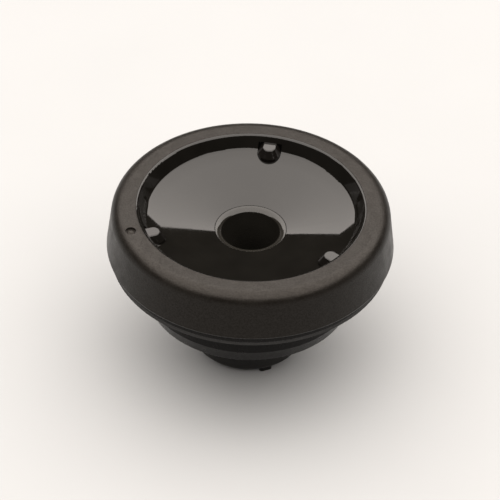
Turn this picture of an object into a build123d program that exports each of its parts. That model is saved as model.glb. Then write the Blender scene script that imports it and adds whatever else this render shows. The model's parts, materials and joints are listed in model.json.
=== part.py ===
from build123d import *
import math
import os

# Desk grommet: a round cable outlet for a standard 60 mm hole in a desk top.
# A matte trim ring surrounds a glossy dish. The dish is screwed to a sleeve that
# drops into the hole, and a cable gland hangs from the middle of the dish.
# Millimetres, +Z up. The origin is on the axis, in the plane of the desk top.

# ---- driving dimensions ----
top_z = 16.3                # highest plane of the trim ring
skirt_z = 3.05              # bottom edge of the trim ring
neck_r = 29.75              # sleeve in the 60 mm hole
neck_len = 10.0             # straight part of the sleeve below the desk face
taper_len = 4.5             # lead-in taper below the straight part
taper_r = 27.85             # outer radius at the bottom of the taper
station_angles = (80.6, 200.6, 320.6)
station_r = 27.1            # screw axes, from the centre

# ---- trim ring ----
ring_in_r = 30.93
ring_edge_round = 0.1       # between the top and the dish
ring_out_r = 38.8           # widest, just above the bottom edge
ring_draft = 6.9            # degrees, the outside leans in towards the top
ring_round = 3.54           # rounding between the top and the outside
ring_wall = 1.9
ring_wall_in = 2.0          # inner wall, next to the dish
ring_edge_z = skirt_z + 0.35   # the ring is widest here
ring_foot_r = ring_out_r - 0.15
ledge_in_r = 28.3
ledge_z = 9.0
ledge_t = 1.2
rib_count = 12
rib_t = 1.2
rib_bite = 0.2              # how far a rib runs into each wall
mark_r = 1.45               # round index recess in the top, with a low dome inside
mark_depth = 0.5
mark_dome_r = 1.1
mark_dome_h = 0.48
mark_at = 33.9              # in line with the second screw
notch_r = 3.75

# ---- dish ----
dish_out_r = 30.9
dish_in_r = 30.45           # where the wall would meet the lip
dish_lip_drop = 0.05        # lip below the top plane
dish_lip_round = 0.75       # between the lip and the sloping wall
hole_r = 9.65
hole_z = 8.2                # edge of the middle hole
bowl_slope = 12.9           # degrees, the bowl is a shallow cone
bowl_bend_r = 26.2          # outside this the bowl is steeper
rim_slope = 19.5            # degrees, outer part of the bowl
bend_round = 30.0           # soft change between the two slopes
bowl_edge_r = 28.25         # where the bowl meets the sloping wall
bowl_t = 2.0
corner_r = 1.2              # between the bowl and the sloping wall
foot_in_r = 27.7            # inner edge of the foot that sits on the ledge
hub_seat_z = 6.2
hub_in_r = 12.55
hub_out_r = 15.5
hub_z = 1.5
boss_r = 3.6
boss_z = 6.5
boss_top_z = 10.5
spoke_t = 1.6               # rib from the hub to a screw boss
spoke_low_z = 4.0
spoke_top_z = 8.0
pad_z = 11.1                # seat of each screw cap

# ---- screws, caps and inserts ----
cap_r = 3.2                 # rounded inner end of the cap
cap_at = 27.6               # centre of that rounding, from the axis
cap_end_r = 29.9            # outer end, let into the dish's wall
cap_z = 14.6
cap_slope_in = 1.5          # sloping face round the top: how far it runs in
cap_slope_down = 2.0        # and down
cap_round = 0.45            # between the top and the sloping face
cap_gap = 0.05
plug_r = 0.9
plug_gap = 0.15
head_r = 2.25
head_h = 2.5
head_z = 8.4
shank_r = 1.25
shank_len = 8.0
socket_af = 2.0
socket_depth = 1.3
head_edge = 0.25
shank_tip = 0.3
counterbore_r = 2.4
screw_clear_r = 1.45
insert_r = 1.9
insert_len = 4.0
insert_bore_gap = 0.02
insert_groove = 0.25
insert_groove_w = 0.6
insert_groove_at = (1.3, 2.7)

# ---- sleeve and gasket ----
flange_r = 37.9
gasket_r = 37.7
gasket_t = 1.0
gasket_in_r = 29.85        # slips over the neck
sleeve_in_r = 27.1
sleeve_low_in_r = 25.9
relief_r = 29.3
sleeve_step_h = 1.5         # thick rim at the bottom of the sleeve
pillar_r = 3.4
pillar_low_z = -2.0
pilot_extra = 0.4           # hole below the tip of the screw

# ---- cable gland ----
thread_r = 12.5
thread_pitch = 1.5
thread_depth = 0.6
cable_r = 7.9
nose_r = 9.55               # mouth of the cable hole, just inside the dish
nose_z = 8.15
nose_in_z = 7.3
nose_bulge = 0.2            # how far its top arches above a straight slope
nose_edge_round = 0.15
hex_af = 30.0
hex_z = 0.3
hex_h = 4.5
body_z = -20.0
seal_seat_z = -12.0
seal_pocket_r = 10.6
seal_r = 10.45
seal_bore_r = 8.0
seal_z = -23.4
cage_r = 12.3
cage_in_r = 10.6
cage_top_z = -20.15
cage_z = -25.9
cage_slots = 12
cage_slot_w = 0.9
cage_ring_h = 1.2           # uncut ring at the top of the cage
play = 0.1                  # between the stacked parts of the gland
slip_t = 0.8
nut_r = 15.25
nut_bore_r = 12.6
nut_top_z = -9.8
nut_z = -30.1
nut_mouth_r = 8.9
nut_round = 1.2
nut_mouth_round = 0.8
lug_h = 1.9
lug_bite = 0.6              # how far a lug runs into the nut
lug_long = 2.2
lug_wide = 3.6
lug_round = 0.8
lug_at = 12.7
lug_angles = (53.0, 173.0, 293.0)


def bowl_z(radius, drop=0.0):
    """Height of the bowl's surface at a radius, or of a surface set below it."""
    return hole_z + (radius - hole_r) * math.tan(math.radians(bowl_slope)) - drop


def rod(radius, low, high):
    """Upright cylinder on the axis between two heights."""
    height = high - low
    return Pos(0, 0, low) * Cylinder(radius, height, align=(Align.CENTER, Align.CENTER, Align.MIN))


def tube(inner, outer, low, high):
    return rod(outer, low, high) - rod(inner, low - 1, high + 1)


def rounded(face, corners):
    """Round the corners of a flat outline, given as (r, z, rounding)."""
    for r, z, rounding in corners:
        corner = Vector(r, 0, z)
        nearest = min(face.vertices(), key=lambda v: (Vector(v) - corner).length)
        face = fillet(nearest, rounding)
    return face


def turned(face):
    return revolve(face, Axis.Z, 360)


def outline(points):
    """Flat outline through (r, z) points, in the plane that holds the axis."""
    return make_face(Polyline([(r, 0, z) for r, z in points], close=True))


def at_station(part, angle):
    """Move a part built on the axis out to the screw position at an angle."""
    return Rot(0, 0, angle) * Pos(station_r, 0, 0) * part


def draft_shift(height):
    return height * math.tan(math.radians(ring_draft))


def make_ring_ribs(outside_top_r):
    """Stiffening ribs in the channel under the ring's top."""
    under_top = top_z - ring_wall
    rib_in = ring_in_r + ring_wall_in - rib_bite
    rib_out = ring_out_r - ring_wall - draft_shift(ledge_z - ring_edge_z) - rib_bite
    blank = Box(rib_out - rib_in, rib_t, under_top - ledge_z + ring_wall / 2)
    blank = Pos((rib_in + rib_out) / 2, 0, (under_top + ledge_z + ring_wall / 2) / 2) * blank
    inside = turned(outline([
        (0, ledge_z),
        (outside_top_r - ring_wall / 2, ledge_z),
        (outside_top_r - ring_wall, under_top),
        (outside_top_r - ring_round, top_z - ring_wall / 2),
        (0, top_z - ring_wall / 2),
    ]))
    ribs = []
    for i in range(rib_count):
        turn = Rot(0, 0, (i + 0.5) * 360 / rib_count)
        ribs.append(turn * blank & inside)
    return ribs


def make_trim_ring():
    ledge_top = ledge_z + ledge_t
    outside_top_r = ring_out_r - draft_shift(top_z - ring_edge_z)
    shell = outline([
        (ring_in_r, top_z),
        (outside_top_r, top_z),
        (ring_out_r, ring_edge_z),
        (ring_foot_r, skirt_z),
        (ring_out_r - ring_wall, skirt_z),
        (outside_top_r - ring_wall, top_z - ring_wall),
        (ring_in_r + ring_wall_in, top_z - ring_wall),
        (ring_in_r + ring_wall_in, ledge_z),
        (ledge_in_r, ledge_z),
        (ledge_in_r, ledge_top),
        (ring_in_r, ledge_top),
    ])
    shell = rounded(shell, [
        (outside_top_r, top_z, ring_round),
        (outside_top_r - ring_wall, top_z - ring_wall, ring_round - ring_wall),
        (ring_in_r, top_z, ring_edge_round),
    ])
    ring = turned(shell)
    for rib in make_ring_ribs(outside_top_r):
        ring += rib
    for angle in station_angles:
        ring -= at_station(rod(notch_r, ledge_z - 1, ledge_top + 0.5), angle) & rod(ring_in_r, 0, top_z)
    floor_z = top_z - mark_depth
    ball_r = (mark_dome_r ** 2 + mark_dome_h ** 2) / (2 * mark_dome_h)
    dome = Pos(0, 0, floor_z + mark_dome_h - ball_r) * Sphere(ball_r) & rod(mark_r, floor_z - 0.1, top_z)
    place = Rot(0, 0, station_angles[1]) * Pos(mark_at, 0, 0)
    ring -= place * rod(mark_r, floor_z, top_z + 1)
    return ring + place * dome


def make_cap_blank(low, high, grow, end_r):
    """Tongue that runs from a rounded inner end out to a circle about the axis."""
    half = cap_r + grow
    nose = Pos(cap_at, 0, 0) * rod(half, low, high)
    tail = Pos((cap_at + end_r + 1) / 2, 0, (low + high) / 2) * Box(end_r + 1 - cap_at, 2 * half, high - low)
    return (nose + tail) & rod(end_r, low, high)


def make_dish_section():
    lip_z = top_z - dish_lip_drop
    foot_z = ledge_z + ledge_t
    edge_z = bowl_z(bowl_bend_r) + (bowl_edge_r - bowl_bend_r) * math.tan(math.radians(rim_slope))
    section = outline([
        (hole_r, hole_z),
        (bowl_bend_r, bowl_z(bowl_bend_r)),
        (bowl_edge_r, edge_z),
        (dish_in_r, lip_z),
        (dish_out_r, lip_z),
        (dish_out_r, foot_z),
        (foot_in_r, foot_z),
        (hub_out_r, bowl_z(hub_out_r, bowl_t)),
        (hub_out_r, hub_z),
        (hub_in_r, hub_z),
        (hub_in_r, hub_seat_z),
        (hole_r, hub_seat_z),
    ])
    return rounded(section, [
        (bowl_bend_r, bowl_z(bowl_bend_r), bend_round),
        (bowl_edge_r, edge_z, corner_r),
        (dish_in_r, lip_z, dish_lip_round),
        (dish_out_r, lip_z, 0.03),
        (hole_r, hole_z, 0.12),
    ])


def make_dish():
    dish = turned(make_dish_section())
    spoke_in = hub_out_r - 0.5
    spoke_out = station_r - boss_r + 0.1
    spoke = Box(spoke_out - spoke_in, spoke_t, spoke_top_z - spoke_low_z)
    spoke = Pos((spoke_in + spoke_out) / 2, 0, (spoke_top_z + spoke_low_z) / 2) * spoke
    for angle in station_angles:
        dish -= Rot(0, 0, angle) * make_cap_blank(pad_z, cap_z, cap_gap, cap_end_r)
        dish += at_station(rod(boss_r, boss_z, boss_top_z), angle)
        dish += Rot(0, 0, angle) * spoke
        dish -= at_station(rod(counterbore_r, head_z, pad_z + 1), angle)
        dish -= at_station(rod(screw_clear_r, boss_z - 1, pad_z), angle)
    return dish


def free_top_edges(cap, end_r):
    """Edges round a cap's top, without the one at its outer end."""
    edges = cap.faces().sort_by(Axis.Z)[-1].edges()
    return [edge for edge in edges if Vector(edge.center().X, edge.center().Y, 0).length < end_r - 0.5]


def make_screw_cap():
    """Tongue-shaped cap, built in place along +X, with a plug for the screw's socket."""
    end_r = cap_end_r - cap_gap
    cap = make_cap_blank(pad_z, cap_z, 0, end_r)
    top = cap.faces().sort_by(Axis.Z)[-1]
    cap = chamfer(free_top_edges(cap, end_r), cap_slope_in, cap_slope_down, reference=top)
    cap = fillet(free_top_edges(cap, end_r), cap_round)
    plug_low = head_z + head_h - socket_depth + plug_gap
    return cap + Pos(station_r, 0, 0) * rod(plug_r, plug_low, pad_z)


def make_dish_screw():
    head_top = head_z + head_h
    screw = rod(head_r, head_z, head_top)
    screw = chamfer(screw.edges().sort_by(Axis.Z)[-1], head_edge)
    socket = extrude(RegularPolygon(socket_af / 2, 6, major_radius=False), socket_depth)
    screw -= Pos(0, 0, head_top - socket_depth) * socket
    shank = rod(shank_r, head_z - shank_len, head_z)
    shank = chamfer(shank.edges().sort_by(Axis.Z)[0], shank_tip)
    return screw + shank


def make_threaded_insert():
    insert_z = boss_z - insert_len
    insert = tube(shank_r + insert_bore_gap, insert_r, insert_z, boss_z)
    for above in insert_groove_at:
        low = insert_z + above - insert_groove_w / 2
        insert -= tube(insert_r - insert_groove, insert_r + 1, low, low + insert_groove_w)
    return insert


def make_sleeve():
    taper_z = -neck_len - taper_len
    section = outline([
        (sleeve_in_r, ledge_z),
        (neck_r, ledge_z),
        (neck_r, skirt_z),
        (flange_r, skirt_z),
        (flange_r, gasket_t),
        (relief_r, gasket_t),
        (relief_r, 0),
        (neck_r, 0),
        (neck_r, -neck_len),
        (taper_r, taper_z),
        (sleeve_low_in_r, taper_z),
        (sleeve_low_in_r, taper_z + sleeve_step_h),
        (sleeve_in_r, -neck_len + 1),
    ])
    section = rounded(section, [
        (flange_r, skirt_z, 0.3),
        (flange_r, gasket_t, 0.3),
        (taper_r, taper_z, 0.4),
    ])
    sleeve = turned(section)
    for angle in station_angles:
        pillar = at_station(rod(pillar_r, gasket_t, boss_z), angle)
        foot = at_station(rod(pillar_r, pillar_low_z, gasket_t), angle) & rod(relief_r, -5, 5)
        sleeve -= at_station(rod(notch_r, boss_z, ledge_z + 1), angle)
        sleeve += pillar + foot
        sleeve -= at_station(rod(insert_r, boss_z - insert_len, boss_z + 1), angle)
        sleeve -= at_station(rod(screw_clear_r, head_z - shank_len - pilot_extra, boss_z), angle)
    return sleeve


def make_desk_gasket():
    return tube(gasket_in_r, gasket_r, 0, gasket_t)


def thread_grooves(low, high):
    """Cutter for a row of V grooves that stands for a coarse outside thread."""
    cutter = None
    turns = int((high - low) / thread_pitch)
    for i in range(turns):
        z = low + (i + 0.5) * thread_pitch
        groove = outline([
            (thread_r + 0.1, z - thread_pitch * 0.42),
            (thread_r + 0.1, z + thread_pitch * 0.42),
            (thread_r - thread_depth, z),
        ])
        cutter = turned(groove) if cutter is None else cutter + turned(groove)
    return cutter


def make_gland_body():
    across = Vector(nose_r, 0, nose_z) - Vector(cable_r, 0, nose_in_z)
    arch = Vector(-across.Z, 0, across.X).normalized() * nose_bulge
    middle = Vector(cable_r, 0, nose_in_z) + across / 2 + arch
    nose = make_face([
        Polyline((cable_r, 0, nose_in_z), (cable_r, 0, 0), (nose_r, 0, 0), (nose_r, 0, nose_z)),
        ThreePointArc((nose_r, 0, nose_z), middle, (cable_r, 0, nose_in_z)),
    ])
    nose = rounded(nose, [(cable_r, nose_in_z, nose_edge_round)])
    hex_low = hex_z - hex_h
    body = turned(nose)
    body += tube(cable_r, thread_r, body_z, hub_seat_z)
    hexagon = extrude(RegularPolygon(hex_af / 2, 6, major_radius=False), hex_h)
    body += Pos(0, 0, hex_low) * hexagon - rod(cable_r, hex_low - 1, hex_z + 1)
    body -= rod(seal_pocket_r, body_z - 1, seal_seat_z)
    body -= thread_grooves(hex_z + 0.3, hub_seat_z - 0.8)
    body -= thread_grooves(body_z + 0.3, hex_low - 0.5)
    return body


def make_sealing_washer():
    return tube(thread_r + 0.1, hub_out_r, hex_z, hub_z)


def make_cable_seal():
    seal = tube(seal_bore_r, seal_r, seal_z, seal_seat_z - 0.05)
    for i in range(4):
        z = seal_z + 2 + i * 2.4
        seal -= tube(seal_bore_r - 1, seal_bore_r + 0.6, z - 0.5, z + 0.5)
    return seal


def make_clamp_cage():
    cage = tube(cage_in_r, cage_r, cage_z, cage_top_z)
    slot = Box(2 * cage_r + 2, cage_slot_w, cage_top_z - cage_z)
    slot = Pos(0, 0, (cage_z + cage_top_z) / 2 - cage_ring_h) * slot
    for i in range(cage_slots // 2):
        cage -= Rot(0, 0, i * 360 / cage_slots) * slot
    return cage


def make_slip_ring():
    low = cage_z - play - slip_t
    return tube(nut_mouth_r + 0.2, cage_r, low, low + slip_t)


def make_gland_nut():
    shoulder_z = cage_z - play - slip_t - play
    section = outline([
        (nut_bore_r, nut_top_z),
        (nut_r, nut_top_z),
        (nut_r, nut_z),
        (nut_mouth_r, nut_z),
        (nut_mouth_r, shoulder_z),
        (nut_bore_r, shoulder_z),
    ])
    section = rounded(section, [
        (nut_r, nut_z, nut_round),
        (nut_r, nut_top_z, 0.6),
        (nut_mouth_r, nut_z, nut_mouth_round),
    ])
    nut = turned(section)
    lug = Box(lug_long, lug_wide, lug_h + lug_bite)
    lug = fillet(lug.edges().filter_by(Axis.Z), lug_round)
    for angle in lug_angles:
        nut += Rot(0, 0, angle) * Pos(lug_at, 0, nut_z - (lug_h - lug_bite) / 2) * lug
    return nut


def write(name, part):
    part.label = name
    export_step(part, f"parts/{name}.step")


def main():
    os.makedirs("parts", exist_ok=True)
    write("trim_ring", make_trim_ring())
    write("dish", make_dish())
    write("sleeve", make_sleeve())
    write("desk_gasket", make_desk_gasket())
    write("gland_body", make_gland_body())
    write("sealing_washer", make_sealing_washer())
    write("cable_seal", make_cable_seal())
    write("clamp_cage", make_clamp_cage())
    write("slip_ring", make_slip_ring())
    write("gland_nut", make_gland_nut())
    for number, angle in enumerate(station_angles, start=1):
        write(f"screw_cap_{number}", Rot(0, 0, angle) * make_screw_cap())
        write(f"dish_screw_{number}", at_station(make_dish_screw(), angle))
        write(f"threaded_insert_{number}", at_station(make_threaded_insert(), angle))


main()
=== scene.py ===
"""Looks for the desk grommet: moulded-plastic, rubber and metal materials, studio light and camera."""

import json
import math

import bpy
from mathutils import Matrix, Vector


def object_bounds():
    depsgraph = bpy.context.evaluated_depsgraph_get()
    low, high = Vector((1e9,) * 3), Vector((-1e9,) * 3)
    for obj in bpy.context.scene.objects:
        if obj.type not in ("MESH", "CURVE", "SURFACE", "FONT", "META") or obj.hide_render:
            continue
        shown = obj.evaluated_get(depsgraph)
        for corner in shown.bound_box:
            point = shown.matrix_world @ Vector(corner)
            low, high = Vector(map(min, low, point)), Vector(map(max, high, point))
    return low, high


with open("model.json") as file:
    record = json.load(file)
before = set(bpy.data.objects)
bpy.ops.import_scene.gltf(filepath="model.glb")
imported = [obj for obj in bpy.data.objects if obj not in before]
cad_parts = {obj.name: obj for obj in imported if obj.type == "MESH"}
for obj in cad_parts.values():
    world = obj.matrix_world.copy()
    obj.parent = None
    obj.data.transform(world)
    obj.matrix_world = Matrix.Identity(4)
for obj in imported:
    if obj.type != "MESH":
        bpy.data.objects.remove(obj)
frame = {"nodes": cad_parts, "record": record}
cad_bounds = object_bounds()

MM = 0.001


# ---- materials ----
class Surface:
    """A node material with a Principled shader and short calls for the usual nodes."""

    def __init__(self, name, colour, roughness, **fixed):
        self.material = bpy.data.materials.new(name)
        self.material.use_nodes = True
        self.tree = self.material.node_tree
        self.shader = principled(self.material)
        self.shader.inputs["Base Color"].default_value = (*colour, 1)
        self.shader.inputs["Roughness"].default_value = roughness
        for label, value in fixed.items():
            self.shader.inputs[label.replace("_", " ")].default_value = value
        self.place = self.node("ShaderNodeTexCoord").outputs["Object"]

    def node(self, kind, **settings):
        made = self.tree.nodes.new(kind)
        for label, value in settings.items():
            setattr(made, label, value)
        return made

    def link(self, source, target):
        self.tree.links.new(source, target)

    def noise(self, size_mm, detail=3.0, stretch=(1, 1, 1)):
        """Noise whose features are about size_mm across."""
        scaled = self.node("ShaderNodeMapping")
        scaled.inputs["Scale"].default_value = stretch
        self.link(self.place, scaled.inputs["Vector"])
        made = self.node("ShaderNodeTexNoise")
        made.inputs["Scale"].default_value = 1 / (size_mm * MM)
        made.inputs["Detail"].default_value = detail
        self.link(scaled.outputs["Vector"], made.inputs["Vector"])
        return made.outputs["Fac"]

    def spread(self, source, lowest, highest, start=0.3, end=0.7):
        """Map a value's range start..end onto lowest..highest."""
        made = self.node("ShaderNodeMapRange")
        made.inputs["From Min"].default_value = start
        made.inputs["From Max"].default_value = end
        made.inputs["To Min"].default_value = lowest
        made.inputs["To Max"].default_value = highest
        self.link(source, made.inputs["Value"])
        return made.outputs["Result"]

    def colours(self, source, first, second, start=0.3, end=0.7):
        """Blend two colours over a value's range start..end."""
        made = self.node("ShaderNodeValToRGB")
        made.color_ramp.elements[0].position = start
        made.color_ramp.elements[0].color = (*first, 1)
        made.color_ramp.elements[1].position = end
        made.color_ramp.elements[1].color = (*second, 1)
        self.link(source, made.inputs["Fac"])
        return made.outputs["Color"]

    def maths(self, how, a, b):
        made = self.node("ShaderNodeMath", operation=how)
        for socket, value in zip(made.inputs, (a, b)):
            if isinstance(value, (int, float)):
                socket.default_value = value
            else:
                self.link(value, socket)
        return made.outputs["Value"]

    def bump(self, *layers, edge_mm=0.0):
        """Stack bumps, each (height source, depth in mm, strength), over softened edges."""
        normal = None
        if edge_mm:
            soft = self.node("ShaderNodeBevel")
            soft.inputs["Radius"].default_value = edge_mm * MM
            normal = soft.outputs["Normal"]
        for source, depth, strength in layers:
            made = self.node("ShaderNodeBump")
            made.inputs["Strength"].default_value = strength
            made.inputs["Distance"].default_value = depth * MM
            self.link(source, made.inputs["Height"])
            if normal is not None:
                self.link(normal, made.inputs["Normal"])
            normal = made.outputs["Normal"]
        self.link(normal, self.shader.inputs["Normal"])

    def edges(self, radius_mm):
        """0 on smooth faces, rising to 1 along edges."""
        soft = self.node("ShaderNodeBevel")
        soft.inputs["Radius"].default_value = radius_mm * MM
        facing = self.node("ShaderNodeVectorMath", operation="DOT_PRODUCT")
        self.link(soft.outputs["Normal"], facing.inputs[0])
        self.link(self.node("ShaderNodeNewGeometry").outputs["Normal"], facing.inputs[1])
        return self.spread(facing.outputs["Value"], 1.0, 0.0, 0.90, 0.995)

    def use(self, label, source):
        self.link(source, self.shader.inputs[label])


def principled(material):
    return material.node_tree.nodes["Principled BSDF"]


def tint(colour, factor):
    return tuple(c * factor for c in colour)


def matte_plastic(name, colour, roughness, grain_mm, depth, strength, specular):
    """Spark-eroded moulded plastic: fine even grain, slight mottling, handled and worn edges."""
    s = Surface(name, colour, roughness, Specular_IOR_Level=specular)
    mottle = s.noise(6.0)
    fine = s.noise(grain_mm, detail=5.0)
    pits = s.noise(grain_mm * 2.6, detail=2.0)
    shade = s.maths("ADD", s.maths("MULTIPLY", mottle, 0.6), s.maths("MULTIPLY", fine, 0.4))
    s.use("Base Color", s.colours(shade, tint(colour, 0.88), tint(colour, 1.14)))
    worn = s.maths("MULTIPLY", s.edges(0.25), s.spread(mottle, 0.03, 0.12))
    handled = s.spread(s.noise(3.2), roughness - 0.05, roughness + 0.06)
    s.use("Roughness", s.maths("SUBTRACT", handled, worn))
    s.use("Specular IOR Level", s.spread(fine, specular * 0.78, specular * 1.22, 0.38, 0.62))
    s.bump((pits, depth, strength * 0.6), (fine, depth, strength), edge_mm=0.05)
    return s.material


def gloss_plastic(name, colour, roughness, specular):
    """Polished plastic: faint flow waviness, light haze and hairline scratches."""
    wave = 0.0015
    s = Surface(name, colour, roughness, Specular_IOR_Level=specular)
    haze = s.noise(9.0, detail=4.0)
    hairs = s.noise(0.9, detail=2.0, stretch=(1.0, 0.05, 0.4))
    s.use("Base Color", s.colours(haze, tint(colour, 0.85), tint(colour, 1.2)))
    hazy = s.spread(haze, roughness * 0.8, roughness * 1.5)
    scratched = s.spread(hairs, 0.0, roughness * 0.4, 0.55, 0.75)
    s.use("Roughness", s.maths("ADD", hazy, scratched))
    s.bump((s.noise(5.0, detail=1.0), wave, 0.25), edge_mm=0.04)
    return s.material


def rubber(name, colour):
    """Dull moulded rubber with a fine powdery grain."""
    s = Surface(name, colour, 0.75)
    fine = s.noise(0.35, detail=4.0)
    s.use("Base Color", s.colours(s.noise(4.0), tint(colour, 0.8), tint(colour, 1.35)))
    s.use("Roughness", s.spread(fine, 0.66, 0.86))
    s.bump((fine, 0.02, 0.4))
    return s.material


def metal(name, colour, roughness):
    """Turned metal with fine lines round it."""
    s = Surface(name, colour, roughness, Metallic=1.0)
    lines = s.noise(0.5, detail=3.0, stretch=(1, 1, 6))
    s.use("Base Color", s.colours(lines, tint(colour, 0.85), colour))
    s.use("Roughness", s.spread(lines, roughness * 0.8, roughness * 1.3))
    s.bump((lines, 0.01, 0.3))
    return s.material


def make_materials():
    """One material for each slot named in the record."""
    ring = matte_plastic(
        "ring_plastic", (0.0042, 0.0035, 0.0028),
        roughness=0.37, grain_mm=0.40, depth=0.04, strength=0.7, specular=0.18,
    )
    principled(ring).inputs["Specular Tint"].default_value = (1.0, 0.94, 0.88, 1)
    sleeve = matte_plastic(
        "sleeve_plastic", (0.0045, 0.004, 0.0036),
        roughness=0.30, grain_mm=0.3, depth=0.006, strength=0.3, specular=0.10,
    )
    cage = matte_plastic(
        "cage_plastic", (0.03, 0.03, 0.03),
        roughness=0.45, grain_mm=0.3, depth=0.01, strength=0.3, specular=0.4,
    )
    slip = matte_plastic(
        "slip_plastic", (0.55, 0.54, 0.50),
        roughness=0.4, grain_mm=0.3, depth=0.01, strength=0.3, specular=0.4,
    )
    return {
        "ring_plastic": ring,
        "sleeve_plastic": sleeve,
        "cage_plastic": cage,
        "slip_plastic": slip,
        "dish_plastic": gloss_plastic("dish_plastic", (0.0034, 0.0031, 0.0026), 0.04, 0.285),
        "cap_plastic": gloss_plastic("cap_plastic", (0.0034, 0.0030, 0.0026), 0.06, 0.29),
        "gland_plastic": gloss_plastic("gland_plastic", (0.009, 0.0083, 0.007), 0.09, 0.31),
        "nut_plastic": gloss_plastic("nut_plastic", (0.008, 0.0074, 0.0064), 0.10, 0.34),
        "gasket_rubber": rubber("gasket_rubber", (0.008, 0.0075, 0.007)),
        "washer_rubber": rubber("washer_rubber", (0.02, 0.02, 0.02)),
        "seal_rubber": rubber("seal_rubber", (0.018, 0.018, 0.018)),
        "screw_steel": metal("screw_steel", (0.45, 0.45, 0.46), 0.3),
        "insert_brass": metal("insert_brass", (0.72, 0.53, 0.25), 0.3),
    }


# ---- pieces ----
def dress_cad(materials):
    """Give every CAD node the material of its slot."""
    slots = {entry["node"]: entry["material_slot"] for entry in frame["record"]["subparts"]}
    for name, node in frame["nodes"].items():
        for place in node.material_slots:
            place.material = materials[slots[name]]


# ---- stage ----
def place_in_scene(thing):
    bpy.context.scene.collection.objects.link(thing)


def add_floor():
    """Large pale sheet under the lowest point of the object."""
    half = 4.0
    z = cad_bounds[0][2]
    corners = [(-half, -half, z), (half, -half, z), (half, half, z), (-half, half, z)]
    mesh = bpy.data.meshes.new("floor")
    mesh.from_pydata(corners, [], [(0, 1, 2, 3)])
    floor = bpy.data.objects.new("floor", mesh)
    place_in_scene(floor)
    s = Surface("floor_paper", (0.258, 0.265, 0.270), 0.9, Specular_IOR_Level=0.1)
    darker, lighter = (0.255, 0.262, 0.267), (0.261, 0.268, 0.273)
    s.use("Base Color", s.colours(s.noise(60.0), darker, lighter))
    mesh.materials.append(s.material)


def add_panel(name, middle, width, length, turn, radiance, colour):
    """Level rectangular light that faces straight down, turned about the upright by some degrees."""
    light = bpy.data.lights.new(name, "AREA")
    light.shape = "RECTANGLE"
    light.size = width
    light.size_y = length
    light.energy = radiance * math.pi * width * length
    light.color = colour
    lamp = bpy.data.objects.new(name, light)
    lamp.location = middle
    lamp.rotation_euler.z = math.radians(turn)
    place_in_scene(lamp)


def add_light():
    """One warm softbox overhead, from behind the object to the camera's side, and a faint fill."""
    warm = (1.0, 0.93, 0.87)
    fill = (0.03, 0.029, 0.027, 1)
    add_panel(
        "overhead_softbox", middle=(0, 0.3675, 1.6), width=4.4, length=4.135,
        turn=-3.2, radiance=5.6, colour=warm,
    )
    world = bpy.data.worlds.new("studio")
    world.use_nodes = True
    world.node_tree.nodes["Background"].inputs["Color"].default_value = fill
    bpy.context.scene.world = world
    bpy.context.scene.view_settings.view_transform = "Standard"


def add_camera():
    """Long lens, looking down at the axis just above the desk's plane."""
    elevation = math.radians(40.74)
    roll = math.radians(1.6)
    aim = Vector((0.0, 0.0, 0.0005))
    distance = 0.845
    back = Vector((0, -math.cos(elevation), math.sin(elevation)))
    right = Vector((1, 0, 0))
    up = back.cross(right)
    tilted_right = right * math.cos(roll) + up * math.sin(roll)
    tilted_up = up * math.cos(roll) - right * math.sin(roll)
    camera = bpy.data.objects.new("camera", bpy.data.cameras.new("camera"))
    camera.data.lens = 224.4
    camera.data.sensor_width = 36
    camera.data.clip_end = 20
    turn = Matrix((tilted_right, tilted_up, back)).transposed().to_4x4()
    camera.matrix_world = Matrix.Translation(aim + back * distance) @ turn
    place_in_scene(camera)
    bpy.context.scene.camera = camera


def main():
    materials = make_materials()
    dress_cad(materials)
    add_floor()
    add_light()
    add_camera()


main()
